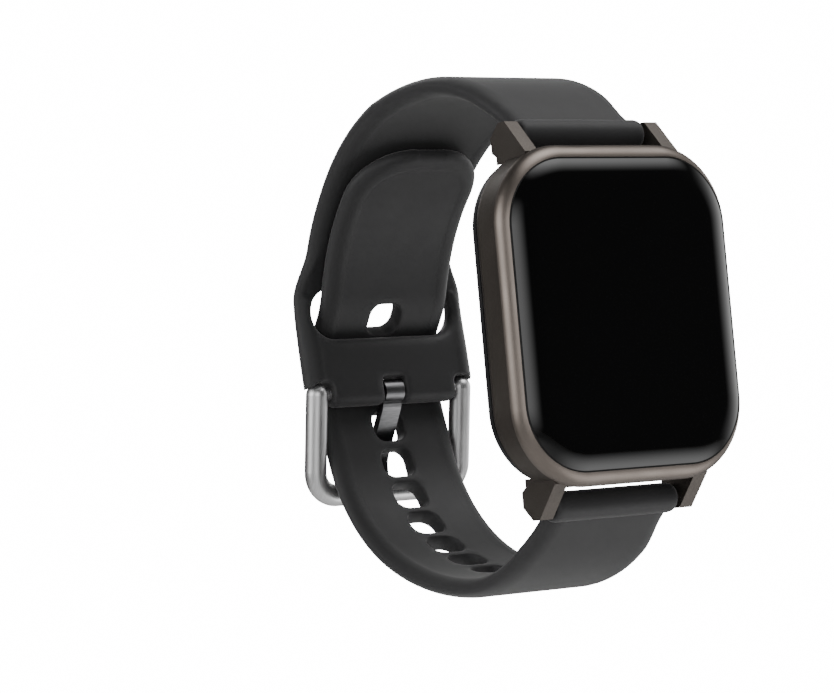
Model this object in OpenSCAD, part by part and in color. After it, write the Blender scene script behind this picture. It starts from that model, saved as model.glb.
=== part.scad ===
// Smartwatch with a silicone strap and a pin buckle, standing upright.
// X points to the 3 o'clock side, Y from the glass towards the wrist, Z to 12 o'clock.
// The origin is the centre of the sensor window, on the back of the case.

/* [Case] */
// Width of the bezel, from side to side
case_w = 35.4; // [35.3:0.1:36]
// Height of the bezel, without the lugs
case_h = 41.8; // [41.4:0.1:43]
// Corner radius of the bezel
corner_r = 10; // [9.5:0.1:10.5]
// Thickness of the watch, from the sensor window to the crown of the glass
case_t = 10; // [10:0.1:10.6]
// Width of the glass
glass_w = 33; // [32.8:0.1:33.2]
// Height of the glass
glass_h = 38; // [37.8:0.1:38.2]
// Wall thickness of the mid case
wall = 1.6; // [1.4:0.1:1.7]
// Drop of the curved edge of the glass
glass_drop = 0.9; // [0.6:0.1:1]

/* [Lugs] */
// Gap between two lugs
lug_gap = 20; // [19.8:0.1:20.4]
// Thickness of each lug
lug_w = 2; // [1.8:0.1:2.2]
// Distance from the centre of the case to each strap bar
bar_z = 23; // [22.9:0.1:23.3]
// Height of the strap bars above the back
bar_h = 2.3; // [2.2:0.1:2.4]

/* [Strap] */
// Width of the strap between the lugs
strap_w = 19; // [18.4:0.1:19.2]
// Width of the strap beyond the lugs
band_w = 20.4; // [19.4:0.1:20.4]
// Width of the end that carries the buckle
strap_end_w = 27.2; // [26.8:0.1:27.4]
// Width of the upper half just above its slot
waist_w = 23.2; // [22.6:0.1:23.6]
// Thickness of the strap
strap_t = 2.6; // [2.2:0.1:2.6]
// Thickness of the end that carries the buckle
strap_end_t = 3.4; // [3:0.1:3.4]
// Outer radius of the roll around each strap bar
roll_r = 1.9; // [1.7:0.05:1.95]
// Number of adjustment holes
hole_count = 10; // [8:1:10]
// Distance from hole to hole
hole_pitch = 5.4; // [5.2:0.1:5.5]
// Length of a hole along the strap
hole_l = 4.4; // [4.4:0.1:4.6]
// Width of a hole across the strap
hole_w = 5; // [4:0.1:6]

/* [Buckle] */
// Diameter of the round bar that the frame is bent from
frame_bar_d = 3; // [2.8:0.1:3]
// Distance between the centre lines of the legs
leg_spacing = 23.7; // [23.6:0.1:23.9]
// Distance from the pin to the crossbar
frame_l = 13.85; // [13.8:0.05:14]
// Diameter of the buckle pin
pin_d = 1.6; // [1.4:0.1:1.6]
// Width of the tongue
tongue_w = 3; // [2.4:0.1:3.2]
// Thickness of the tongue
tongue_t = 1.1; // [0.9:0.05:1.1]

/* [Button] */
// Length of the side button
button_l = 8; // [6:0.1:9]
// Width of the side button
button_w = 2.6; // [2.2:0.1:2.8]
// Travel of the side button
button_travel = 0.35; // [0.2:0.05:0.35]

/* [Hidden] */
$fn = 96;
fit = 0.05;                        // gap at a running fit
case_colour = [0.23, 0.21, 0.2];
bezel_colour = [0.42, 0.39, 0.36];
silicone_colour = [0.16, 0.16, 0.17];
steel_colour = [0.72, 0.72, 0.73];

// Heights above the back of the case.
glass_bottom = case_t - 1.5;
glass_edge = case_t - glass_drop;
bezel_bottom = 7.2;
mid_top = bezel_bottom - fit;
mid_bottom = 2.6;
cover_bottom = 1.15;
cover_top = mid_bottom - fit;
shelf_bottom = 6.6;
shelf_top = 7.4;
board_bottom = 5.75;
board_top = 6.4;
button_h = 4.9;

glass_r = corner_r - 1.7;
cavity_w = case_w - 0.3 - 2 * wall;
cavity_h = case_h - 0.3 - 2 * wall;
cavity_r = corner_r - 0.15 - wall;
cover_w = case_w - 1.3;
cover_h = case_h - 1.3;
cover_r = corner_r - 0.65;
screw_at = [12.75, 15.65];
screw_r = 0.6;
head_r = 1.1;
boss_r = 1.6;
boss_bottom = 3.4;
boss_l = 2.2;
sensor_r = 9;
contact_r = 0.9;
contact_at = [3.8, -14.6];
battery_bottom = 2.95;

// The button slides on a stem in the wall. A groove there holds its rubber ring.
stem_r = 0.8;
groove_x = 0.35;                   // from the inside of the wall
groove_w = 0.5;
groove_r = 1.35;
recess_x = cavity_w / 2 + 1;

tube_l = lug_gap - 1.6;
tube_r = 0.9;
tube_bore_r = 0.6;
spring_from = 2;
plunger_from = 5.5;
tip_r = 0.42;
tip_out = 0.9;
release_travel = 1.1;
lever_x = 7;
upper_bar_at = [-bar_h, bar_z];
lower_bar_at = [-bar_h, -bar_z];

// Each strap half follows a path in the Y-Z plane. A segment is [length, 0] for a straight
// or [radius, turn] for an arc, where a positive turn is to the left.
upper_start = [upper_bar_at.x, upper_bar_at.y, 40];
upper_path = [[5.6, 0], [22.3, -40], [30.2, -62], [18, -26], [30, -8], [10.9, 0]];
thick_from = 63;                   // distance along the upper path where the end thickens
thick_to = 70;
lower_start = [lower_bar_at.x, lower_bar_at.y, -42];
lower_path = [[5.6, 0], [21.8, 42], [38, 24], [24, 28], [22, 22], [5, 0], [35, 14],
              [7, 38], [2.2, 0], [12, -18], [35, 10], [27.6, 36]];
band_from = 0.4;                   // where a band starts, inside its roll
band_step = 1.5;                   // length of the short flats that a strap's curve is made of
thread_s = [62, 90];               // the part of the lower path that threads the slot
tongue_hole_s = 62.1;              // distance along the lower path to the tongue's hole
holes_beyond = 3;                  // holes on the tail's side of the tongue's hole
slot_z = [2, 9.4];
slot_w = strap_end_w - 4.4;
slot_r = 3.4;
pin_at = [44.1, -5.2];
frame_tilt = 10.8;
frame_corner_r = 3.4;
notch_z = pin_at.y + 1.9;
side_notch_z = pin_at.y + 1;
tongue_roll_r = pin_d / 2 + 0.8;
tongue_start = [pin_at.x, pin_at.y - 1, -84];
tongue_path = [[0.6, 0], [1.5, 26.6], [7.1, 0], [4, -32.6], [4.9, 0]];
tongue_step = 0.35;

// ---- Paths ----

// The pose [y, z, heading] after one segment.
function after(pose, seg) =
    let(a = pose[2], b = pose[2] + seg[1], s = sign(seg[1]))
    s == 0 ? [pose[0] + seg[0] * cos(a), pose[1] + seg[0] * sin(a), a]
           : [pose[0] + s * seg[0] * (sin(b) - sin(a)),
              pose[1] + s * seg[0] * (cos(a) - cos(b)), b];

// The pose at the start of segment n.
function pose_at(start, path, n) = n == 0 ? start : after(pose_at(start, path, n - 1), path[n - 1]);

function seg_length(seg) = seg[1] == 0 ? seg[0] : seg[0] * abs(seg[1]) * PI / 180;

// The first s millimetres of a segment.
function part_of(seg, s) = seg[1] == 0 ? [s, 0] : [seg[0], sign(seg[1]) * s / seg[0] * 180 / PI];

// The pose at distance s along a path.
function pose_along(start, path, s, n = 0) =
    let(l = seg_length(path[n]))
    s <= l || n == len(path) - 1 ? after(pose_at(start, path, n), part_of(path[n], s))
                                 : pose_along(start, path, s - l, n + 1);

// The length of the first n segments of a path.
function path_length(path, n) = n == 0 ? 0 : path_length(path, n - 1) + seg_length(path[n - 1]);

// A strap's side view: a band that follows a path from s0 to s1, with its thickness at each s.
module band(start, path, s0, s1, thickness, step = band_step) {
    steps = ceil((s1 - s0) / step);
    poses = [for (i = [0 : steps]) let(s = s0 + (s1 - s0) * i / steps)
        [pose_along(start, path, s), thickness(s)]];
    function edge(p, side) = [p[0][0] - side * p[1] / 2 * sin(p[0][2]),
                              p[0][1] + side * p[1] / 2 * cos(p[0][2])];
    polygon([for (p = poses) edge(p, 1), for (i = [steps : -1 : 0]) edge(poses[i], -1)]);
}

// ---- Helpers ----

// Turns a drawing in the Y-Z plane into a solid of width w, centred on X = 0.
module across(w) rotate([90, 0, 90]) linear_extrude(w, center = true) children();

// Stands a shape up, so that its own +Z points out of the glass.
module upright() rotate([90, 0, 0]) children();

module at_yz(p) translate([0, p.x, p.y]) children();

// A cylinder along X, from x0 to x1.
module rod(x0, x1, r) translate([x0, 0, 0]) rotate([0, 90, 0]) cylinder(h = x1 - x0, r = r);

module rounded_rect(w, h, r) {
    square([w - 2 * r, h], center = true);
    square([w, h - 2 * r], center = true);
    for (x = [-1, 1], y = [-1, 1]) translate([x * (w / 2 - r), y * (h / 2 - r)]) circle(r);
}

module plate(w, h, r, z0, z1) translate([0, 0, z0]) linear_extrude(z1 - z0) rounded_rect(w, h, r);

// Sweeps a profile around a rounded rectangle. Its x is measured outwards from the outline.
module sweep_round(w, h, r)
    for (i = [0 : 3]) {
        out = i % 2 == 0 ? w / 2 : h / 2;
        side = (i % 2 == 0 ? h : w) - 2 * r;
        rotate(90 * i) {
            translate([out, side / 2, 0]) rotate([90, 0, 0]) linear_extrude(side) children();
            translate([out - r, side / 2, 0]) rotate_extrude(angle = 90) translate([r, 0]) children();
        }
    }

module ring(w, h, r, width, z0, z1)
    difference() {
        plate(w, h, r, z0, z1);
        plate(w - 2 * width, h - 2 * width, r - width, z0 - 1, z1 + 1);
    }

// ---- Glass and case ----

module cover_glass() {
    edge_curve_r = 6;
    curve_w = sqrt(2 * edge_curve_r * glass_drop - glass_drop * glass_drop);
    color([0.02, 0.02, 0.025]) upright() {
        sweep_round(glass_w, glass_h, glass_r) intersection() {
            translate([-glass_r, glass_bottom]) square([glass_r, case_t - glass_bottom]);
            union() {
                translate([-curve_w, case_t - edge_curve_r]) circle(edge_curve_r);
                translate([-glass_r - 1, 0]) square([glass_r + 1 - curve_w, case_t]);
            }
        }
        translate([0, 0, (glass_bottom + case_t) / 2])
            cube([glass_w - 2 * glass_r, glass_h - 2 * glass_r, case_t - glass_bottom], center = true);
    }
}

module glass_seal()
    color("black") upright()
        ring(glass_w + 0.36, glass_h + 0.36, glass_r + 0.18, 0.15, glass_bottom, glass_edge);

module bezel() {
    round_r = glass_edge + 0.1 - bezel_bottom;
    color(bezel_colour) upright() {
        difference() {
            sweep_round(case_w, case_h, corner_r) translate([-round_r, bezel_bottom]) intersection() {
                circle(round_r);
                square(round_r);
            }
            plate(glass_w + 0.4, glass_h + 0.4, glass_r + 0.2, bezel_bottom - 1, case_t);
        }
        // The ledge that the glass rests on.
        ring(glass_w + 0.6, glass_h + 0.6, glass_r + 0.3, 1.4, glass_bottom - fit - 0.6, glass_bottom - fit);
    }
}

// The side view of an upper lug. Its root lies inside the wall.
module lug_outline()
    polygon([[-7.1, 19.3], [-7.1, 20.25], [-3.4, 24.45], [-2.1, 24.45], [-0.3, 22.8],
             [-0.3, 20.9], [-1.15, 20.3], [-1.15, 19.3]]);

module mid_case() {
    w = case_w - 0.3;
    h = case_h - 0.3;
    r = corner_r - 0.15;
    edge_r = 1.2;
    color(case_colour) difference() {
        union() {
            upright() sweep_round(w, h, r) intersection() {
                translate([-wall, mid_bottom]) square([wall, mid_top - mid_bottom]);
                union() {
                    translate([-edge_r, mid_bottom + edge_r]) circle(edge_r);
                    translate([-wall, mid_bottom + edge_r]) square([wall, mid_top - mid_bottom - edge_r]);
                    translate([-wall, mid_bottom]) square([wall - edge_r, edge_r * 1.5]);
                }
            }
            for (x = [-1, 1]) translate([x * (lug_gap + lug_w) / 2, 0, 0]) {
                across(lug_w) lug_outline();
                mirror([0, 0, 1]) across(lug_w) lug_outline();
            }
            upright() at_screws() translate([0, 0, boss_bottom]) cylinder(h = boss_l, r = boss_r);
        }
        upright() at_screws() translate([0, 0, boss_bottom - 1]) cylinder(h = boss_l + 0.6, r = screw_r + 0.03);
        for (z = [-bar_z, bar_z]) translate([0, -bar_h, z])
            rod(-lug_gap / 2 - tip_out - 0.3, lug_gap / 2 + tip_out + 0.3, tip_r + 0.04);
        // Room for the back cover between the lugs' roots.
        upright() plate(cover_w + 0.2, cover_h + 0.2, cover_r + 0.1, 0, mid_bottom);
        upright() translate([0, 0, button_h]) {
            rod(cavity_w / 2 - 1, case_w / 2, stem_r + fit);
            rod(cavity_w / 2 + groove_x, cavity_w / 2 + groove_x + groove_w, groove_r);
            translate([recess_x, 0, 0]) pill(button_l + 0.3, button_w + 0.3, 2);
        }
    }
}

// Puts a shape at each of the four screws, in an upright drawing.
module at_screws()
    for (x = [-1, 1], y = [-1, 1]) translate([x * screw_at.x, y * screw_at.y, 0]) children();

// A pill-shaped plate that lies in the plane across X.
module pill(l, w, t)
    rotate([90, 0, 90]) linear_extrude(t) {
        square([l - w, w], center = true);
        for (s = [-1, 1]) translate([s * (l - w) / 2, 0]) circle(w / 2);
    }

// ---- Display and electronics ----

module display_panel()
    color([0.05, 0.05, 0.06]) upright() plate(30, 35.6, 7, shelf_top + 0.2, glass_bottom - fit);

// A ribbon that runs from the back of the display round the edge of the frame to the board.
module display_flex()
    color([0.55, 0.35, 0.12]) across(6) {
        t = 0.14;
        top = shelf_top + 0.15;
        bottom = board_top + 0.03 + t;
        turn_z = 17;
        translate([-top, turn_z - 4]) square([t, 4]);
        translate([-top, turn_z - t]) square([top - bottom + t, t]);
        translate([-bottom, turn_z - 2]) square([t, 2]);
    }

module inner_frame()
    color([0.12, 0.12, 0.13]) upright() difference() {
        union() {
            plate(cavity_w - 0.4, cavity_h - 0.4, cavity_r - 0.2, shelf_bottom, shelf_top);
            ring(30.9, 36.4, 7.4, 0.8, shelf_top - 0.1, shelf_top + 0.15);
            // The wall beside the battery.
            translate([-10, -17, 3.6]) cube([20, 1, shelf_bottom - 3.5]);
        }
        // Openings for the ribbon and over the battery.
        translate([0, 17, shelf_top]) cube([7, 1, 4], center = true);
        translate([0, -6, shelf_top]) cube([14, 8, 4], center = true);
    }

module main_board()
    color([0.04, 0.2, 0.12]) upright() difference() {
        translate([0, 8.8, (board_bottom + board_top) / 2])
            cube([27, 16.4, board_top - board_bottom], center = true);
        for (x = [-1, 1]) translate([x * screw_at.x, screw_at.y, 5]) cylinder(h = 3, r = 1.9);
    }

module board_chips() {
    chips = [[-7.5, 10.5, 7, 7, 1.1], [1, 11, 6, 6, 0.9], [-6, 4, 8, 3, 0.8], [1.5, 4.5, 4, 4, 0.7]];
    color([0.1, 0.1, 0.1]) upright() for (c = chips)
        translate([c[0], c[1], board_bottom - 0.01 - c[4] / 2]) cube([c[2], c[3], c[4]], center = true);
}

module battery()
    color([0.62, 0.63, 0.65]) upright() translate([0, -6.9, 0])
        plate(24.4, 13.4, 1.6, battery_bottom, battery_bottom + 3.3);

module vibration_motor()
    color(steel_colour) upright() translate([8.8, 9.6, 3.1]) cylinder(h = 2.6, r = 3.9);

module antenna()
    color([0.75, 0.5, 0.2]) upright() translate([0, cavity_h / 2 - 0.5, 4.9])
        cube([18, 0.3, 2.6], center = true);

// ---- Button ----

module side_button()
    color(bezel_colour) upright() translate([0, 0, button_h]) {
        head_x = recess_x + fit + button_travel;
        translate([head_x, 0, 0]) pill(button_l, button_w, 0.9);
        rod(cavity_w / 2 - 0.7, head_x + 0.1, stem_r);
    }

module button_clip()
    color(steel_colour) upright() translate([0, 0, button_h]) difference() {
        rod(cavity_w / 2 - 0.45, cavity_w / 2 - 0.15, 1.5);
        rod(cavity_w / 2 - 1, cavity_w / 2, stem_r + 0.01);
    }

module button_seal()
    color("black") upright() translate([0, 0, button_h]) difference() {
        rod(cavity_w / 2 + groove_x + 0.03, cavity_w / 2 + groove_x + groove_w - 0.03, groove_r - 0.03);
        rod(cavity_w / 2, recess_x, stem_r + 0.02);
    }

module button_switch()
    color([0.7, 0.7, 0.68]) upright() translate([0, 0, button_h]) difference() {
        translate([cavity_w / 2 - 2.35, 0, 0]) cube([1.8, 3.6, 1.6], center = true);
        rod(cavity_w / 2 - 2.25, cavity_w / 2, 0.55);
    }

module switch_plunger()
    color([0.9, 0.88, 0.8]) upright() translate([0, 0, button_h])
        rod(cavity_w / 2 - 1.85, cavity_w / 2 - 0.72, 0.5);

// ---- Back ----

module back_seal()
    color("black") upright()
        ring(cavity_w - 0.1, cavity_h - 0.1, cavity_r - 0.05, 0.5, mid_bottom + 0.05, 3.1);

module back_cover() {
    edge_r = 1;
    color([0.1, 0.1, 0.11]) upright() difference() {
        union() {
            sweep_round(cover_w, cover_h, cover_r) polygon([
                [-4, cover_top], [-4, cover_bottom],
                for (a = [0 : 22.5 : 90]) [edge_r * (sin(a) - 1), cover_bottom + edge_r * (1 - cos(a))],
                [0, cover_top]]);
            plate(cover_w - 5, cover_h - 5, cover_r - 2.5, cover_bottom, cover_top);
            ring(cavity_w - 1.2, cavity_h - 1.2, cavity_r - 0.6, 0.8, cover_top - 0.1, 3.3);
            translate([0, 0, 0.35]) cylinder(h = 1, r = sensor_r + 1.6);
        }
        translate([0, 0, -1]) cylinder(h = 3, r = sensor_r + fit);
        translate([0, 0, 1.5]) cylinder(h = 2, r = sensor_r + 0.9);
        at_screws() {
            cylinder(h = 4, r = screw_r + 0.1);
            cylinder(h = 1.75, r = head_r + fit);
            translate([0, 0, cover_top]) cylinder(h = 2, r = boss_r + 0.6);
        }
        for (x = [-1, 1])
            translate([x * contact_at.x, contact_at.y, 0]) cylinder(h = 3, r = contact_r + 0.02);
    }
}

module back_screws()
    color(steel_colour) upright() at_screws() difference() {
        union() {
            translate([0, 0, cover_bottom + 0.05]) cylinder(h = 0.54, r = head_r);
            translate([0, 0, cover_bottom + 0.5]) cylinder(h = 3.2, r = screw_r);
        }
        translate([0, 0, cover_bottom]) for (a = [0, 90]) rotate(a) cube([1.3, 0.3, 0.7], center = true);
    }

module sensor_window()
    color([0.03, 0.03, 0.04]) upright() rotate_extrude() {
        edge_r = 0.4;
        square([sensor_r - edge_r, 1.2]);
        translate([0, edge_r]) square([sensor_r, 1.2 - edge_r]);
        translate([sensor_r - edge_r, edge_r]) circle(edge_r);
    }

module sensor_board()
    color([0.04, 0.2, 0.12]) upright() {
        translate([0, 0, 1.75]) cylinder(h = 0.6, r = sensor_r + 0.7);
        translate([0, 0, 1.5]) cube([3, 3, 0.6], center = true);
        for (x = [-1, 1]) translate([x * 4.4, 0, 1.5]) cube([1.6, 2.2, 0.6], center = true);
    }

module charge_contacts()
    color([0.83, 0.68, 0.35]) upright()
        for (x = [-1, 1]) translate([x * contact_at.x, contact_at.y, cover_bottom - 0.05])
            cylinder(h = battery_bottom - 0.1 - cover_bottom, r = contact_r);

// ---- Straps ----

module strap_bore(at)
    at_yz(at) {
        rod(-strap_w, strap_w, tube_r + fit);
        // The window for the thumb lever, on the wrist side of the roll.
        translate([lever_x - 0.4, 1.5, 0]) cube([3.4, 3, 1.4], center = true);
    }

// The plan view of a strap half. It flares just beyond the lugs, then widens slowly up to Y = 26.
module strap_plan(far_w)
    translate([0, 0, -60]) linear_extrude(120)
        both_sides([[strap_w / 2, -6], [strap_w / 2, 0.5], [band_w / 2, 4], [far_w / 2, 26],
                    [far_w / 2 + 3, 40], [far_w / 2 + 3, 60]]);

// The front view of the upper half: a waist above the slot, and the wide end with the slot.
module strap_front() {
    end = strap_end_w / 2;
    waist = waist_w / 2;
    upright() translate([0, 0, -60]) linear_extrude(120)
        both_sides([[end, -20], [end, 7.6], [end - 0.2, 8.8], [(end + waist) / 2, 10.4],
                    [waist + 0.2, 12.4], [waist, 14], [waist, 20], [waist + 0.6, 31], [waist + 0.6, 50]]);
}

// A drawing that is the same on both sides of its second axis.
module both_sides(points)
    polygon([each points, for (i = [len(points) - 1 : -1 : 0]) [-points[i].x, points[i].y]]);

module upper_strap() {
    upper_l = path_length(upper_path, len(upper_path));
    thickness = function(s) strap_t + (strap_end_t - strap_t)
        * max(0, min(1, (s - thick_from) / (thick_to - thick_from)));
    color(silicone_colour) difference() {
        intersection() {
            union() {
                across(strap_end_w) translate(upper_bar_at) circle(roll_r);
                across(strap_end_w) band(upper_start, upper_path, band_from, upper_l, thickness);
            }
            strap_plan(waist_w + 1.2);
            strap_front();
        }
        strap_bore(upper_bar_at);
        upright() translate([0, (slot_z[0] + slot_z[1]) / 2, -52]) linear_extrude(12)
            rounded_rect(slot_w, slot_z[1] - slot_z[0], slot_r);
        across(band_w + 0.6)
            band(lower_start, lower_path, thread_s[0], thread_s[1], function(s) strap_t + 0.6);
        translate([-tongue_w / 2 - 0.3, 40, notch_z - 10]) cube([tongue_w + 0.6, 10, 10]);
        // Notches for the legs of the frame, with a pocket for their round tops.
        for (s = [-1, 1]) translate([s * (leg_spacing / 2 + 1.6), 0, 0]) {
            translate([0, 45, side_notch_z - 5]) cube([6.8, 12, 10], center = true);
            translate([0, pin_at.x + 5, side_notch_z]) cube([6.8, 10, 1.4], center = true);
            at_yz(pin_at) rod(-3.4, 3.4, frame_bar_d / 2 + 0.12);
        }
        at_yz(pin_at) rod(-strap_end_w, strap_end_w, pin_d / 2 + fit);
    }
}

// Rounds the corners of the tail.
module tail_corners(pose) {
    r = band_w * 0.4;
    translate([0, pose[0], pose[1]]) rotate([pose[2], 0, 0]) translate([0, -r, 0])
        linear_extrude(strap_t + 4, center = true) difference() {
            translate([-band_w, 0]) square([band_w * 2, band_w]);
            translate([r - band_w / 2, -1]) square([band_w - 2 * r, r + 1]);
            for (s = [-1, 1]) translate([s * (band_w / 2 - r), 0]) circle(r);
        }
}

module lower_strap() {
    lower_l = path_length(lower_path, len(lower_path));
    color(silicone_colour) difference() {
        intersection() {
            union() {
                across(band_w) translate(lower_bar_at) circle(roll_r);
                across(band_w) band(lower_start, lower_path, band_from, lower_l, function(s) strap_t);
            }
            strap_plan(band_w);
        }
        strap_bore(lower_bar_at);
        for (i = [holes_beyond - hole_count + 1 : holes_beyond]) {
            pose = pose_along(lower_start, lower_path, tongue_hole_s + i * hole_pitch);
            translate([0, pose[0], pose[1]]) rotate([pose[2], 0, 0])
                linear_extrude(strap_t + 2, center = true) rounded_rect(hole_w, hole_l, 1.4);
        }
        tail_corners(pose_along(lower_start, lower_path, lower_l - 0.5));
    }
}

// ---- Strap bars ----

module bar_tube()
    difference() {
        union() {
            rod(-tube_l / 2, tube_l / 2, tube_r);
            rod(-lug_gap / 2 - tip_out, 0, tip_r);
        }
        rod(spring_from, tube_l, tube_bore_r);
        translate([lever_x - release_travel / 2, 1, 0])
            cube([release_travel + 1.1, 2, 1.1], center = true);
    }

module bar_release() {
    rod(plunger_from, tube_l / 2 - 0.3, tube_bore_r - fit);
    rod(plunger_from, lug_gap / 2 + tip_out, tip_r);
    translate([lever_x, 0, 0]) rotate([-90, 0, 0]) cylinder(h = 2.4, r = 0.45);
    translate([lever_x, 2.1, 0]) rotate([-90, 0, 0]) cylinder(h = 0.5, r = 0.6);
}

// A coil of round wire along X.
module bar_spring() {
    turns = 6;
    steps = 12 * turns;
    sides = 6;
    coil_r = 0.42;
    wire_r = 0.09;
    length = plunger_from - spring_from - 2 * wire_r - 0.1;
    rings = [for (i = [0 : steps]) let(a = 360 * turns * i / steps, x = length * i / steps)
        [for (j = [0 : sides - 1]) let(b = 360 * j / sides, r = coil_r + wire_r * cos(b))
            [x + wire_r * sin(b), r * cos(a), r * sin(a)]]];
    points = [for (ring = rings) each ring];
    quads = [for (i = [0 : steps - 1], j = [0 : sides - 1])
        let(a = i * sides + j, b = i * sides + (j + 1) % sides)
        [a, b, b + sides, a + sides]];
    first = [for (j = [sides - 1 : -1 : 0]) j];
    last = [for (j = [0 : sides - 1]) steps * sides + j];
    translate([spring_from + wire_r + 0.05, 0, 0]) polyhedron(points, concat(quads, [first, last]));
}

module upper_bar() color(steel_colour) at_yz(upper_bar_at) bar_tube();
module upper_bar_spring() color(steel_colour) at_yz(upper_bar_at) bar_spring();
module upper_release() color(steel_colour) at_yz(upper_bar_at) bar_release();
module lower_bar() color(steel_colour) at_yz(lower_bar_at) bar_tube();
module lower_bar_spring() color(steel_colour) at_yz(lower_bar_at) bar_spring();
module lower_release() color(steel_colour) at_yz(lower_bar_at) bar_release();

// ---- Buckle ----

module buckle_frame() {
    r = frame_bar_d / 2;
    leg_x = leg_spacing / 2;
    straight = frame_l - frame_corner_r;
    color(steel_colour) at_yz(pin_at) rotate([frame_tilt, 0, 0]) difference() {
        union() {
            for (s = [-1, 1]) {
                translate([s * leg_x, 0, -straight]) cylinder(h = straight, r = r);
                translate([s * leg_x, 0, 0]) sphere(r);
            }
            translate([0, 0, -frame_l]) rod(-leg_x + frame_corner_r, leg_x - frame_corner_r, r);
            for (s = [0, 1]) mirror([s, 0, 0])
                translate([leg_x - frame_corner_r, 0, -straight])
                    rotate([90, 0, 0]) rotate([0, 0, -90])
                        rotate_extrude(angle = 90) translate([frame_corner_r, 0]) circle(r);
        }
        rod(-leg_x - 0.8, leg_x + 0.8, pin_d / 2 + 0.02);
    }
}

module buckle_pin()
    color(steel_colour) at_yz(pin_at) rod(-leg_spacing / 2 - 0.75, leg_spacing / 2 + 0.75, pin_d / 2);

module buckle_tongue()
    color(steel_colour) difference() {
        union() {
            at_yz(pin_at) rod(-tongue_w / 2, tongue_w / 2, tongue_roll_r);
            across(tongue_w) band(tongue_start, tongue_path, 0, path_length(tongue_path, len(tongue_path)),
                                  function(s) tongue_t, tongue_step);
        }
        at_yz(pin_at) rod(-tongue_w, tongue_w, pin_d / 2 + fit);
    }

cover_glass();
glass_seal();
bezel();
mid_case();
display_panel();
display_flex();
inner_frame();
main_board();
board_chips();
battery();
vibration_motor();
antenna();
side_button();
button_clip();
button_seal();
button_switch();
switch_plunger();
back_seal();
back_cover();
back_screws();
sensor_window();
sensor_board();
charge_contacts();
upper_strap();
upper_bar();
upper_bar_spring();
upper_release();
lower_strap();
lower_bar();
lower_bar_spring();
lower_release();
buckle_frame();
buckle_pin();
buckle_tongue();
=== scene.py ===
import math

import bpy
import numpy as np
from mathutils import Matrix, Vector
from mathutils.geometry import delaunay_2d_cdt


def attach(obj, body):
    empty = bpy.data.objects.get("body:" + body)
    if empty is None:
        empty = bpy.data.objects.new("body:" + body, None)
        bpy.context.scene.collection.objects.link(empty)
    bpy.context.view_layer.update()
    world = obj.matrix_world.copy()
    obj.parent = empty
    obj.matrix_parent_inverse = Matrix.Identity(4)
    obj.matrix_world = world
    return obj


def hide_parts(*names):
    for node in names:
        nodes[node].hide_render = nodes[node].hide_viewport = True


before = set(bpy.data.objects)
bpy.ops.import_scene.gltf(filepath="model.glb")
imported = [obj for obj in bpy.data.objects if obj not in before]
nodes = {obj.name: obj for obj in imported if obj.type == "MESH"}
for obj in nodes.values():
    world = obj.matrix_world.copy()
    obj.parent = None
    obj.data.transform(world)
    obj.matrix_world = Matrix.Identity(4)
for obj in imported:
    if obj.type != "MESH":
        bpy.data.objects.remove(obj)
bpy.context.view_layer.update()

MM = 0.001

# ---------------------------------------------------------------- the design's own measures (mm)
# A path is [length, 0] for a straight or [radius, turn in degrees] for an arc, in the Y-Z plane.
UPPER_START = (-2.3, 23.0, 40.0)
UPPER_PATH = [(5.6, 0), (22.3, -40), (30.2, -62), (18, -26), (30, -8), (10.9, 0)]
LOWER_START = (-2.3, -23.0, -42.0)
LOWER_PATH = [(5.6, 0), (21.8, 42), (38, 24), (24, 28), (22, 22), (5, 0), (35, 14),
              (7, 38), (2.2, 0), (12, -18), (35, 10), (27.6, 36)]
LUG_HALF = 9.5                 # half the width of a strap between the lugs
BAND_HALF = 10.2               # and beyond them
ARCH_HALF = 12.2               # half the width of the upper strap at the top of its arch
WAIST_HALF = 11.6              # above its slot
END_HALF = 13.6                # and at the buckle's end
STRAP_T = 2.6
END_T = 3.4
FLARE = (0.5, 4.0, 26.0)       # values of Y between which a strap widens from the lugs
NARROWS = (30.0, 48.0)         # distances along the upper path between arch and waist
WIDENS = (55.5, 62.5)          # between the waist and the buckle's end
THICKENS = (63.0, 70.0)        # and between which the end thickens
RELIEF = (53.0, 60.0, 0.45)    # where the upper strap is hollowed for the tail, and how deep
CHORD_ROOM = 0.002             # keeps the curves within the chords of the CAD's
ROLL_R = 1.9
BORE_R = 0.95
SLOT = (60.8, 67.8)            # the slot's ends, along the upper path
SLOT_HALF = 11.4
SLOT_CORNER = 3.4
LEG_NOTCH_S = 73.75            # where the notches for the frame and the tongue begin
TONGUE_NOTCH_S = 73.4
LEG_NOTCH_X = 10.0
SKIRT_L = 0.55                 # how far the strap's corners reach down outside the frame's legs
SKIRT_W = (0.6, 1.4)           # their width at the bottom and at the top
TONGUE_NOTCH_X = 1.8
HOLE_S = 62.1                  # the hole that the tongue is in
HOLE_PITCH = 5.4
HOLES = range(-6, 4)
HOLE_HALF = (2.5, 2.2)
HOLE_CORNER = 1.6
TIP_CORNER = 8.16
LEVER_X = 7.0
RIM_W = 2.3                    # width of the rounded rim along a strap's edges
RIM_STEP = 0.1                 # depth of the fine step inside that rim
RIM_STEP_W = 0.22
WEAR_W = 0.35                  # how far from an edge it is polished by wear


# ---------------------------------------------------------------- paths
def after(pose, length_or_radius, turn):
    y, z, a = pose
    if turn == 0:
        return (y + length_or_radius * math.cos(a), z + length_or_radius * math.sin(a), a)
    side, b = math.copysign(1, turn), a + turn
    return (y + side * length_or_radius * (math.sin(b) - math.sin(a)),
            z + side * length_or_radius * (math.cos(a) - math.cos(b)), b)


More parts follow.
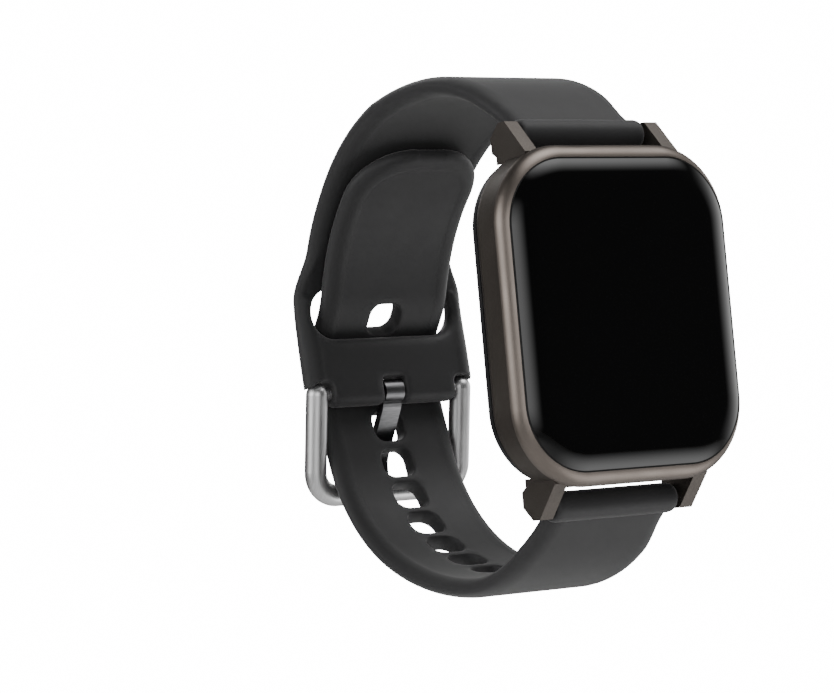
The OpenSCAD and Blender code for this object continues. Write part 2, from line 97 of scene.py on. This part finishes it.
def path_table(start, path, step=0.25):
    """Distances along a path, with y, z and heading (radians) at each."""
    pose = (start[0], start[1], math.radians(start[2]))
    rows, done = [(0.0, *pose)], 0.0
    for size, turn in path:
        turn = math.radians(turn)
        length = size if turn == 0 else size * abs(turn)
        count = max(2, math.ceil(length / step))
        for i in range(1, count + 1):
            share = i / count
            part = (size * share, 0) if turn == 0 else (size, turn * share)
            rows.append((done + length * share, *after(pose, *part)))
        pose, done = rows[-1][1:], done + length
    return np.array(rows)


UPPER = path_table(UPPER_START, UPPER_PATH)
LOWER = path_table(LOWER_START, LOWER_PATH)


def on_path(table, s, x, h):
    """Points in metres, at distance s along a path, x across it and h to its left."""
    y, z, a = (np.interp(s, table[:, 0], table[:, k]) for k in (1, 2, 3))
    return np.stack([x, y - h * np.sin(a), z + h * np.cos(a)], axis=1) * MM


# ---------------------------------------------------------------- outlines in the flat (x, s)
def outline(corners, step=0.45):
    """A closed outline. A corner is (x, s, radius, kind), and kind names the edge that follows it.
    Returns the points and the kind of the edge after each."""
    n = len(corners)
    points, kinds = [], []
    for i, (x, s, r, kind) in enumerate(corners):
        here = np.array([x, s])
        before = np.array(corners[i - 1][:2]) - here
        ahead = np.array(corners[(i + 1) % n][:2]) - here
        room = min(np.linalg.norm(before), np.linalg.norm(ahead)) * 0.499
        before, ahead = before / np.linalg.norm(before), ahead / np.linalg.norm(ahead)
        half = math.acos(max(-1, min(1, float(before @ ahead)))) / 2
        if r > 0 and half < 1.5:
            cut = min(r / math.tan(half), room)
            r = cut * math.tan(half)
            centre = here + (before + ahead) / np.linalg.norm(before + ahead) * r / math.sin(half)
            first, last = here + before * cut - centre, here + ahead * cut - centre
            turn = math.atan2(first[0] * last[1] - first[1] * last[0], first @ last)
            count = max(3, math.ceil(abs(turn) * r / (step * 0.5)))
            for k in range(count + 1):
                a = turn * k / count
                c, q = math.cos(a), math.sin(a)
                points.append(centre + [first[0] * c - first[1] * q, first[0] * q + first[1] * c])
                kinds.append(corners[i - 1][3] if k < count / 2 else kind)
        else:
            points.append(here)
            kinds.append(kind)
    out, out_kinds = [], []
    for i, p in enumerate(points):
        q = points[(i + 1) % len(points)]
        count = max(1, round(float(np.linalg.norm(q - p)) / step))
        for k in range(count):
            out.append(p + (q - p) * k / count)
            out_kinds.append(kinds[i])
    return np.array(out), out_kinds


def box_outline(x, s, half_x, half_s, corner, kind, step=0.3):
    signs = ((-1, -1), (-1, 1), (1, 1), (1, -1))
    return outline([(x + i * half_x, s + j * half_s, corner, kind) for i, j in signs], step)


def distance(points, a, b):
    """Distance from each point to the nearest of the segments from a to b."""
    best = np.full(len(points), 1e9)
    for i in range(0, len(a), 64):
        start, along = a[i:i + 64], b[i:i + 64] - a[i:i + 64]
        rel = points[:, None, :] - start[None]
        t = np.clip((rel * along).sum(2) / np.maximum((along ** 2).sum(1), 1e-12), 0, 1)
        best = np.minimum(best, np.linalg.norm(rel - t[..., None] * along[None], axis=2).min(1))
    return best


def inside(points, loop):
    """Whether each point is inside a closed outline."""
    x, y = points[:, 0], points[:, 1]
    result = np.zeros(len(points), bool)
    for p, q in zip(loop, np.roll(loop, -1, axis=0)):
        crosses = (p[1] > y) != (q[1] > y)
        result ^= crosses & (x < (q[0] - p[0]) * (y - p[1]) / (q[1] - p[1] + 1e-15) + p[0])
    return result


# ---------------------------------------------------------------- moulded panels
# How each kind of edge is rounded: its width in from the edge and its depth, as a share of half
# the thickness. A free edge of the strap is fully rounded, and a cut is only broken a little.
EDGES = {"side": (RIM_W, 0.94), "lip": (1.5, 0.9), "cut": (0.4, 0.22), "hole": (0.3, 0.18),
         "slot": (1.2, 0.8), "sleeve": (0.9, 0.85), "seam": (0.01, 0.0)}


def moulded(name, loops, thickness, place, grid, rim_side=0, relief=None):
    """A solid made from flat outlines: rounded along its edges by their kind, then bent by place().
    rim_side is the side (1 left, -1 right) that has a fine step inside its rounded rim, or 0.
    relief gives the depth that the right side is hollowed by, at each distance."""
    kinds = sorted({k for _, ks in loops for k in ks})
    segments = {k: ([], []) for k in kinds}
    for points, ks in loops:
        ends = np.roll(points, -1, axis=0)
        for p, q, k in zip(points, ends, ks):
            segments[k][0].append(p)
            segments[k][1].append(q)
    segments = {k: (np.array(a), np.array(b)) for k, (a, b) in segments.items()}

    # Rings that follow each edge inwards, close together where the rounding is tight.
    flat = [p for points, _ in loops for p in points]
    rings = []
    for k in kinds:
        width = EDGES[k][0]
        if k == "seam":
            continue
        shares = (0.03, 0.1, 0.2, 0.34, 0.5, 0.7, 0.92) if width > 0.6 else (0.3, 1.0)
        depths = [width * q for q in shares]
        if k == "side":
            depths += [RIM_W + d for d in (0.06, 0.18, 0.3, 0.5)]
        a, b = segments[k]
        along = b - a
        along /= np.linalg.norm(along, axis=1)[:, None]
        for depth in depths:
            for side in (1, -1):
                normal = np.stack([-along[:, 1], along[:, 0]], axis=1) * side
                rings.append((k, depth, (a + b) / 2 + normal * depth))
    outer = loops[0][0]
    lo, hi = outer.min(0), outer.max(0)
    xs = np.arange(lo[0] + grid / 2, hi[0], grid)
    ss = np.arange(lo[1] + grid / 2, hi[1], grid)
    mesh_x, mesh_s = np.meshgrid(xs, ss)
    rings.append((None, None, np.stack([mesh_x.ravel(), mesh_s.ravel()], axis=1)))

    kept, seen = list(flat), {}

    def near(p, room):
        cell = (int(p[0] // 0.5), int(p[1] // 0.5))
        for i in (-1, 0, 1):
            for j in (-1, 0, 1):
                for q in seen.get((cell[0] + i, cell[1] + j), ()):
                    if (q[0] - p[0]) ** 2 + (q[1] - p[1]) ** 2 < room * room:
                        return True
        return False

    def add(p):
        seen.setdefault((int(p[0] // 0.5), int(p[1] // 0.5)), []).append(p)

    for p in flat:
        add(p)
    for k, depth, points in rings:
        ok = inside(points, outer)
        for hole, _ in loops[1:]:
            ok &= ~inside(points, hole)
        points = points[ok]
        if not len(points):
            continue
        gaps = {j: distance(points, *segments[j]) for j in kinds}
        nearest = np.min([gaps[j] for j in kinds], axis=0)
        if k is None:
            ok = nearest > 0.45
            room = 0.42
        else:
            ok = (gaps[k] > depth * 0.97) & (nearest > min(depth, 0.25) * 0.9)
            room = min(0.3, max(0.05, depth * 0.5))
        for p in points[ok]:
            if not near(p, room):
                kept.append(p)
                add(p)

    flat = np.array(kept)
    edges, first = [], 0
    for points, _ in loops:
        n = len(points)
        edges += [(first + i, first + (i + 1) % n) for i in range(n)]
        first += n
    result = delaunay_2d_cdt([Vector(p) for p in flat], edges, [], 0, 1e-7)
    flat = np.array([tuple(v) for v in result[0]])
    centres = np.array([flat[list(f)].mean(0) for f in result[2]])
    solid = inside(centres, outer)
    for hole, _ in loops[1:]:
        solid &= ~inside(centres, hole)
    faces = [tuple(f) for f, ok in zip(result[2], solid) if ok]

    half_t = thickness(flat[:, 1]) / 2 - CHORD_ROOM
    height = half_t.copy()
    edge_wear = np.zeros(len(flat))
    for k in kinds:
        width, depth = EDGES[k]
        gap = distance(flat, *segments[k])
        share = 1 - np.minimum(gap / width, 1)
        height = np.minimum(height, half_t - half_t * depth * (1 - np.sqrt(1 - share ** 2)))
        if k != "seam":
            edge_wear = np.maximum(edge_wear, np.exp(-(gap / WEAR_W) ** 2))
    step = 0.0
    if "side" in kinds:
        gap = distance(flat, *segments["side"])
        step = RIM_STEP * np.clip((gap - RIM_W) / RIM_STEP_W, 0, 1)
    left = height - (step if rim_side == 1 else 0)
    right = height - (step if rim_side == -1 else 0)
    if relief:
        right = np.minimum(right, np.maximum(half_t - relief(flat[:, 1]), 0.1))

    n = len(flat)
    verts = np.concatenate([place(flat[:, 0], flat[:, 1], left), place(flat[:, 0], flat[:, 1], -right)])
    all_faces = []
    for f in faces:
        all_faces.append(f)
        all_faces.append(tuple(i + n for i in reversed(f)))
    # The walls join the two sides along every edge of the sheet that only one triangle has.
    used = {}
    for f in faces:
        for i, j in zip(f, f[1:] + f[:1]):
            used[(i, j)] = True
    for i, j in used:
        if (j, i) not in used:
            all_faces.append((j, i, i + n, j + n))
    mesh = bpy.data.meshes.new(name)
    mesh.from_pydata([tuple(v) for v in verts], [], all_faces)
    mesh.attributes.new("edge_wear", "FLOAT", "POINT").data.foreach_set(
        "value", np.concatenate([edge_wear, edge_wear]).astype(np.float32))
    mesh.update()
    mesh.shade_smooth()
    obj = bpy.data.objects.new(name, mesh)
    bpy.context.scene.collection.objects.link(obj)
    return obj


def constant(value):
    return lambda s: np.full(len(s), float(value))


def half_width(table, s, far):
    """Half the width at distance s of a strap that flares beyond the lugs, up to far."""
    y = np.interp(s, table[:, 0], table[:, 1])
    return float(np.interp(y, FLARE, (LUG_HALF, BAND_HALF, far)))


def upper_half_width(s):
    """The upper strap's half width: it narrows from its arch to a waist, then widens at the slot."""
    if s < NARROWS[0]:
        return half_width(UPPER, s, ARCH_HALF)
    waist = float(np.interp(s, NARROWS, (ARCH_HALF, WAIST_HALF)))
    share = float(np.interp(s, WIDENS, (0, 1)))
    return waist + (END_HALF - waist) * share * share * (3 - 2 * share)


def upper_band():
    """The upper strap from its roll to the buckle's end, with the slot and the three notches."""
    end = UPPER[-1, 0]
    skirt_s = LEG_NOTCH_S + SKIRT_L
    up = list(np.arange(1.0, LEG_NOTCH_S - 1, 1.0)) + [LEG_NOTCH_S - 1.0]
    right = [(upper_half_width(s), float(s), 0, "side") for s in up]
    corners = right + [
        (END_HALF, skirt_s, 0.3, "cut"), (END_HALF - SKIRT_W[0], skirt_s, 0.2, "cut"),
        (END_HALF - SKIRT_W[1], LEG_NOTCH_S, 0.3, "cut"), (LEG_NOTCH_X, LEG_NOTCH_S, 0.9, "cut"),
        (LEG_NOTCH_X, end, 0.8, "lip"), (TONGUE_NOTCH_X, end, 0.5, "cut"),
        (TONGUE_NOTCH_X, TONGUE_NOTCH_S, 0.4, "cut"), (-TONGUE_NOTCH_X, TONGUE_NOTCH_S, 0.4, "cut"),
        (-TONGUE_NOTCH_X, end, 0.5, "lip"), (-LEG_NOTCH_X, end, 0.8, "cut"),
        (-LEG_NOTCH_X, LEG_NOTCH_S, 0.9, "cut"), (SKIRT_W[1] - END_HALF, LEG_NOTCH_S, 0.3, "cut"),
        (SKIRT_W[0] - END_HALF, skirt_s, 0.2, "cut"), (-END_HALF, skirt_s, 0.3, "side")]
    corners += [(-x, s, r, k) for x, s, r, k in reversed(right)]
    corners[-1] = (corners[-1][0], corners[-1][1], 0, "seam")
    slot_mid, slot_half = sum(SLOT) / 2, (SLOT[1] - SLOT[0]) / 2
    loops = [outline(corners), box_outline(0, slot_mid, SLOT_HALF, slot_half, SLOT_CORNER, "slot")]

    def thickness(s):
        return np.interp(s, THICKENS, (STRAP_T, END_T))

    def relief(s):
        start, full, depth = RELIEF
        return np.interp(s, (start, full), (0, depth)) * (s < SLOT[0] + 1)

    return moulded("upper_strap_band", loops, thickness,
                   lambda x, s, h: on_path(UPPER, s, x, h), 1.0, rim_side=-1, relief=relief)


def lower_band():
    """The lower strap from its roll to the tail, with the adjustment holes."""
    end = LOWER[-1, 0] - 0.5
    right = [(half_width(LOWER, s, BAND_HALF), float(s), 0, "side") for s in np.arange(1.0, 11.0, 1.5)]
    corners = right + [(BAND_HALF, end, TIP_CORNER, "side"), (-BAND_HALF, end, TIP_CORNER, "side")]
    corners += [(-x, s, r, kind) for x, s, r, kind in reversed(right)]
    corners[-1] = (*corners[-1][:3], "seam")
    loops = [outline(corners)]
    for i in HOLES:
        loops.append(box_outline(0, HOLE_S + i * HOLE_PITCH, *HOLE_HALF, HOLE_CORNER, "hole"))
    return moulded("lower_strap_band", loops, constant(STRAP_T),
                   lambda x, s, h: on_path(LOWER, s, x, h), 1.0, rim_side=1)


def sleeve(name, centre, seam_angle):
    """The roll around a strap bar, with the window that the release lever slides in."""
    middle_r = (ROLL_R + BORE_R) / 2
    length = 2 * math.pi * middle_r
    window = (math.radians(90 - seam_angle) % (2 * math.pi)) * middle_r
    corners = [(LUG_HALF, 0, 0, "sleeve"), (LUG_HALF, length, 0, "seam"),
               (-LUG_HALF, length, 0, "sleeve"), (-LUG_HALF, 0, 0, "seam")]
    loops = [outline(corners, 0.3), box_outline(LEVER_X - 0.4, window, 1.65, 0.55, 0.4, "hole", 0.15)]

    def place(x, s, h):
        a = math.radians(seam_angle) + s / middle_r
        r = middle_r + h
        return np.stack([x, centre[0] + r * np.sin(a), centre[1] + r * np.cos(a)], axis=1) * MM

    return moulded(name, loops, constant(ROLL_R - BORE_R), place, 0.5)


# ---------------------------------------------------------------- materials
class Shader:
    """A material, with short ways to add the nodes that these materials use."""

    def __init__(self, name, **sockets):
        self.material = bpy.data.materials.new(name)
        self.material.use_nodes = True
        self.tree = self.material.node_tree
        self.bsdf = self.tree.nodes["Principled BSDF"]
        for key, value in sockets.items():
            self.bsdf.inputs[key.replace("_", " ")].default_value = value
        coords = self.tree.nodes.new("ShaderNodeTexCoord")
        self.coords = coords.outputs["Object"]

    def link(self, source, target):
        self.tree.links.new(source, target)
        return source

    def stretched(self, scale):
        mapping = self.tree.nodes.new("ShaderNodeMapping")
        mapping.inputs["Scale"].default_value = scale
        self.link(self.coords, mapping.inputs["Vector"])
        return mapping.outputs["Vector"]

    def noise(self, scale, detail=3.0, roughness=0.5, vector=None):
        node = self.tree.nodes.new("ShaderNodeTexNoise")
        node.inputs["Scale"].default_value = scale
        node.inputs["Detail"].default_value = detail
        node.inputs["Roughness"].default_value = roughness
        self.link(vector or self.coords, node.inputs["Vector"])
        return node.outputs["Fac"]

    def ramp(self, fac, low, high, colours):
        node = self.tree.nodes.new("ShaderNodeValToRGB")
        for element, place, colour in zip(node.color_ramp.elements, (low, high), colours):
            element.position = place
            element.color = (*colour, 1)
        self.link(fac, node.inputs["Fac"])
        return node.outputs["Color"]

    def range(self, fac, low, high, to_low, to_high):
        node = self.tree.nodes.new("ShaderNodeMapRange")
        keys = ("From Min", "From Max", "To Min", "To Max")
        for key, value in zip(keys, (low, high, to_low, to_high)):
            node.inputs[key].default_value = value
        self.link(fac, node.inputs["Value"])
        return node.outputs["Result"]

    def mix(self, fac, a, b, blend="MIX"):
        node = self.tree.nodes.new("ShaderNodeMix")
        node.data_type = "RGBA"
        node.blend_type = blend
        for key, value in (("Factor", fac), ("A", a), ("B", b)):
            socket = next(s for s in node.inputs if s.name == key and s.enabled)
            if isinstance(value, (int, float, tuple)):
                socket.default_value = value
            else:
                self.link(value, socket)
        return next(s for s in node.outputs if s.enabled)

    def attribute(self, name):
        node = self.tree.nodes.new("ShaderNodeAttribute")
        node.attribute_name = name
        return node.outputs["Fac"]

    def colour(self, source):
        self.link(source, self.bsdf.inputs["Base Color"])

    def roughness(self, source):
        self.link(source, self.bsdf.inputs["Roughness"])

    def bump(self, height, strength, depth):
        node = self.tree.nodes.new("ShaderNodeBump")
        node.inputs["Strength"].default_value = strength
        node.inputs["Distance"].default_value = depth
        if self.bsdf.inputs["Normal"].links:
            self.link(self.bsdf.inputs["Normal"].links[0].from_socket, node.inputs["Normal"])
        self.link(height, node.inputs["Height"])
        self.link(node.outputs["Normal"], self.bsdf.inputs["Normal"])


def silicone():
    """Matt moulded silicone: a fine matt grain, faint cloudiness and edges polished by wear."""
    m = Shader("silicone_charcoal", IOR=1.42, Sheen_Weight=0.25, Sheen_Roughness=0.45)
    cloud = m.ramp(m.noise(90, 4), 0.35, 0.7, [(0.025, 0.025, 0.026), (0.028, 0.028, 0.029)])
    dust = m.range(m.noise(5200, 2, 0.7), 0.66, 0.78, 0, 0.25)
    colour = m.mix(dust, cloud, (0.075, 0.074, 0.073, 1))
    wear = m.range(m.attribute("edge_wear"), 0.0, 1.0, 0.0, 0.25)
    m.colour(m.mix(wear, colour, (0.065, 0.065, 0.067, 1)))
    m.roughness(m.range(m.noise(260, 3), 0.3, 0.7, 0.53, 0.57))
    m.bump(m.noise(7000, 2, 0.6), 0.25, 0.00002)
    m.bump(m.noise(420, 3), 0.04, 0.00006)
    return m.material


def satin_metal(name, dark, light, rough, grain=0.35, grain_scale=9000.0, metallic=1.0):
    """Bead-blasted metal: a sparkling fine grain, and soft variation from handling."""
    m = Shader(name, Metallic=metallic)
    speck = m.noise(grain_scale, 2, 0.7)
    tone = m.ramp(speck, 0.3, 0.7, [dark, light])
    smear = m.range(m.noise(160, 4), 0.3, 0.75, -0.05, 0.07)
    m.colour(m.mix(0.5, tone, m.ramp(m.noise(60, 3), 0.3, 0.7, [dark, light])))
    add = m.tree.nodes.new("ShaderNodeMath")
    add.operation = "ADD"
    add.inputs[1].default_value = rough
    m.link(smear, add.inputs[0])
    m.roughness(add.outputs[0])
    m.bump(speck, grain, 0.000012)
    return m.material


def brushed_metal(name, dark, light, rough, lines):
    """Satin steel: very fine lines drawn along one axis, with a soft grain over them."""
    m = Shader(name, Metallic=1.0)
    drawn = m.noise(1.0, 3, 0.6, m.stretched(lines))
    grain = m.noise(11000, 2, 0.7)
    m.colour(m.ramp(drawn, 0.3, 0.7, [dark, light]))
    m.roughness(m.range(m.noise(200, 4), 0.3, 0.7, rough - 0.04, rough + 0.05))
    m.bump(drawn, 0.2, 0.00001)
    m.bump(grain, 0.3, 0.00001)
    return m.material


def black_glass():
    m = Shader("glass_black", IOR=1.52, Specular_IOR_Level=0.5)
    m.colour(m.ramp(m.noise(25, 2), 0.3, 0.8, [(0.0008, 0.0008, 0.0009), (0.0016, 0.0016, 0.0018)]))
    m.roughness(m.range(m.noise(300, 4, 0.6), 0.4, 0.75, 0.035, 0.06))
    return m.material


def moulded_plastic(name, dark, light, rough, grain_scale=5000.0, grain=0.3):
    m = Shader(name, IOR=1.48)
    m.colour(m.ramp(m.noise(140, 4), 0.35, 0.7, [dark, light]))
    m.roughness(m.range(m.noise(420, 3), 0.3, 0.7, rough - 0.05, rough + 0.06))
    m.bump(m.noise(grain_scale, 2, 0.6), grain, 0.00001)
    return m.material


MATERIALS = {
    "glass": black_glass(),
    "rubber": moulded_plastic("seal_rubber", (0.006, 0.006, 0.006), (0.011, 0.011, 0.011), 0.6),
    "bezel": satin_metal("bezel_satin", (0.2, 0.172, 0.152), (0.27, 0.235, 0.21), 0.4, 0.25),
    "case": satin_metal("case_blasted", (0.075, 0.064, 0.056), (0.14, 0.125, 0.112), 0.45, 0.5,
                        6500.0, 0.85),
    "silicone": silicone(),
    "steel": brushed_metal("steel_satin", (0.72, 0.72, 0.72), (0.86, 0.86, 0.86), 0.37,
                           (9000, 500, 300)),
    # The tongue is the buckle's steel painted much darker: painted shade for the shade and dark
    # reflections it sits in.
    "tongue": brushed_metal("steel_tongue_painted_shade", (0.15, 0.15, 0.153), (0.23, 0.23, 0.235), 0.36,
                            (700, 500, 9000)),
    "plastic": moulded_plastic("plastic_black", (0.012, 0.012, 0.013), (0.02, 0.02, 0.021), 0.42),
    "board": moulded_plastic("board_green", (0.008, 0.05, 0.025), (0.014, 0.08, 0.04), 0.35, 2500.0),
    "chip": moulded_plastic("chip_black", (0.015, 0.015, 0.016), (0.03, 0.03, 0.03), 0.5, 9000.0),
    "cell": satin_metal("cell_pouch", (0.3, 0.31, 0.33), (0.42, 0.43, 0.45), 0.35, 0.3, 1500.0, 0.8),
    "polyimide": moulded_plastic("ribbon_polyimide", (0.3, 0.12, 0.02), (0.42, 0.19, 0.04), 0.3, 3000.0),
    "gold": satin_metal("contact_gold", (0.68, 0.44, 0.18), (0.82, 0.58, 0.28), 0.22, 0.15),
    "sensor": black_glass(),
    "display": moulded_plastic("display_dark", (0.003, 0.003, 0.004), (0.006, 0.006, 0.008), 0.15),
    "white": moulded_plastic("switch_white", (0.6, 0.59, 0.55), (0.72, 0.71, 0.67), 0.45),
}

NODE_MATERIALS = {
    "cover_glass": "glass", "glass_seal": "rubber", "bezel": "bezel", "mid_case": "case",
    "display_panel": "display", "display_flex": "polyimide", "inner_frame": "plastic",
    "main_board": "board", "board_chips": "chip", "battery": "cell", "vibration_motor": "steel",
    "antenna": "gold", "side_button": "bezel", "button_clip": "steel", "button_seal": "rubber",
    "button_switch": "plastic", "switch_plunger": "white", "back_seal": "rubber",
    "back_cover": "plastic", "back_screws": "steel", "sensor_window": "sensor",
    "sensor_board": "board", "charge_contacts": "gold", "upper_strap": "silicone",
    "upper_bar": "steel", "upper_bar_spring": "steel", "upper_release": "steel",
    "lower_strap": "silicone", "lower_bar": "steel", "lower_bar_spring": "steel",
    "lower_release": "steel", "buckle_frame": "steel", "buckle_pin": "steel",
    "buckle_tongue": "tongue",
}


def dress(obj, material):
    obj.data.materials.clear()
    obj.data.materials.append(material)


for name, kind in NODE_MATERIALS.items():
    dress(nodes[name], MATERIALS[kind])


def soften(node, width, segments=2, angle=35):
    """Breaks the sharp edges of a CAD node by a fine chamfer, without touching its mesh."""
    obj = nodes[node]
    flat = obj.modifiers.new("merge_flats", "DECIMATE")
    flat.decimate_type = "DISSOLVE"
    flat.angle_limit = math.radians(0.5)
    flat.delimit = {"SHARP"}
    bevel = obj.modifiers.new("broken_edges", "BEVEL")
    bevel.width = width * MM
    bevel.segments = segments
    bevel.limit_method = "ANGLE"
    bevel.angle_limit = math.radians(angle)
    bevel.harden_normals = False


for node, width in (("mid_case", 0.12), ("buckle_tongue", 0.1), ("bezel", 0.06)):
    soften(node, width)


# ---------------------------------------------------------------- the soft parts
def build_straps():
    upper, lower = upper_band(), lower_band()
    upper_roll = sleeve("upper_strap_sleeve", UPPER_START[:2], 90 - UPPER_START[2])
    lower_roll = sleeve("lower_strap_sleeve", LOWER_START[:2], 90 - LOWER_START[2])
    upper_place, lower_place = ("upper_half", "upper_strap"), ("lower_half", "lower_strap")
    for obj, (body, node) in ((upper, upper_place), (upper_roll, upper_place),
                              (lower, lower_place), (lower_roll, lower_place)):
        dress(obj, MATERIALS["silicone"])
        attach(obj, body)
        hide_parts(node)


build_straps()


# ---------------------------------------------------------------- studio
def area_light(name, azimuth, elevation, distance_m, width, height, power, aim=(0, 0.012, 0)):
    """A softbox that is brightest in its middle and fades to its border.
    Azimuth 0 is in front of the glass, and -90 is to the left of it."""
    a, e = math.radians(azimuth), math.radians(elevation)
    away = Vector((math.sin(a) * math.cos(e), -math.cos(a) * math.cos(e), math.sin(e)))
    lamp = bpy.data.lights.new(name, "AREA")
    lamp.shape = "RECTANGLE"
    lamp.size, lamp.size_y = width, height
    lamp.energy = power
    lamp.use_nodes = True
    tree = lamp.node_tree
    place, from_middle = tree.nodes.new("ShaderNodeNewGeometry"), tree.nodes.new("ShaderNodeVectorMath")
    from_middle.operation = "DISTANCE"
    from_middle.inputs[1].default_value = (0.5, 0.5, 0)
    fade = tree.nodes.new("ShaderNodeMapRange")
    fade.interpolation_type = "SMOOTHSTEP"
    for key, value in (("From Min", 0.0), ("From Max", 0.52), ("To Min", 1.0), ("To Max", 0.0)):
        fade.inputs[key].default_value = value
    tree.links.new(place.outputs["Parametric"], from_middle.inputs[0])
    tree.links.new(from_middle.outputs["Value"], fade.inputs["Value"])
    tree.links.new(fade.outputs["Result"], tree.nodes["Emission"].inputs["Strength"])
    obj = bpy.data.objects.new(name, lamp)
    obj.location = Vector(aim) + away * distance_m
    obj.rotation_mode = "QUATERNION"
    obj.rotation_quaternion = away.to_track_quat("Z", "Y")
    bpy.context.scene.collection.objects.link(obj)


# Azimuth, elevation, distance (m), width, height (m) and power (W) of each softbox.
SOFTBOXES = {
    "softbox_left": (-95, 12, 0.7, 0.9, 0.9, 9.0),
    "softbox_front": (-28, 4, 0.8, 1.1, 0.9, 8.0),
    "softbox_right": (96, 4, 0.7, 1.5, 0.8, 7.0),
    "softbox_top": (50, 62, 0.7, 0.95, 0.95, 12.0),
    "softbox_low": (51, -44, 0.33, 0.5, 0.34, 1.1),
    "softbox_back": (170, 30, 0.8, 0.8, 0.7, 5.0),
}
FLOOR_R, FLOOR_Z, FLOOR_SIDES = 1.2, -0.4, 96
SURROUND_SEEN = 16.0           # strength of the surround as it is seen
SURROUND_LIGHT = 0.06          # and as it lights the watch


def backdrop():
    """A plain pale disc, well below the watch, and a plain bright surround."""
    ring = [(FLOOR_R * math.cos(a), FLOOR_R * math.sin(a), FLOOR_Z)
            for a in (2 * math.pi * i / FLOOR_SIDES for i in range(FLOOR_SIDES))]
    mesh = bpy.data.meshes.new("floor")
    mesh.from_pydata(ring, [], [tuple(range(FLOOR_SIDES))])
    floor = bpy.data.objects.new("floor", mesh)
    bpy.context.scene.collection.objects.link(floor)
    m = Shader("floor_pale", Base_Color=(0.86, 0.86, 0.86, 1), Roughness=0.8)
    mesh.materials.append(m.material)
    world = bpy.data.worlds.new("surround")
    bpy.context.scene.world = world
    world.use_nodes = True
    tree = world.node_tree
    tree.nodes.clear()
    seen, lit = tree.nodes.new("ShaderNodeBackground"), tree.nodes.new("ShaderNodeBackground")
    seen.inputs["Color"].default_value = (1, 1, 1, 1)
    seen.inputs["Strength"].default_value = SURROUND_SEEN
    lit.inputs["Color"].default_value = (1, 1, 1, 1)
    lit.inputs["Strength"].default_value = SURROUND_LIGHT
    rays, mix = tree.nodes.new("ShaderNodeLightPath"), tree.nodes.new("ShaderNodeMixShader")
    out = tree.nodes.new("ShaderNodeOutputWorld")
    tree.links.new(rays.outputs["Is Camera Ray"], mix.inputs[0])
    tree.links.new(lit.outputs[0], mix.inputs[1])
    tree.links.new(seen.outputs[0], mix.inputs[2])
    tree.links.new(mix.outputs[0], out.inputs["Surface"])


CAMERA_AT = (-229.6, -293.75, -23.0)      # mm
CAMERA_TURN = (-34.8, -3.3, -5.0)         # azimuth, elevation and roll, in degrees
CAMERA_LENS, CAMERA_SENSOR = 128.8, 36.0


def camera():
    azimuth, elevation, roll = (math.radians(a) for a in CAMERA_TURN)
    back = Vector((math.sin(azimuth) * math.cos(elevation),
                   -math.cos(azimuth) * math.cos(elevation), math.sin(elevation)))
    level = (-back).cross(Vector((0, 0, 1))).normalized()
    rise = level.cross(-back)
    right = level * math.cos(roll) + rise * math.sin(roll)
    up = rise * math.cos(roll) - level * math.sin(roll)
    data = bpy.data.cameras.new("camera")
    data.lens, data.sensor_width = CAMERA_LENS, CAMERA_SENSOR
    data.clip_start = 0.02
    obj = bpy.data.objects.new("camera", data)
    turn = Matrix((right, up, back)).transposed().to_4x4()
    obj.matrix_world = Matrix.Translation(Vector(CAMERA_AT) * MM) @ turn
    bpy.context.scene.collection.objects.link(obj)
    bpy.context.scene.camera = obj


for name, place in SOFTBOXES.items():
    area_light(name, *place)
backdrop()
camera()
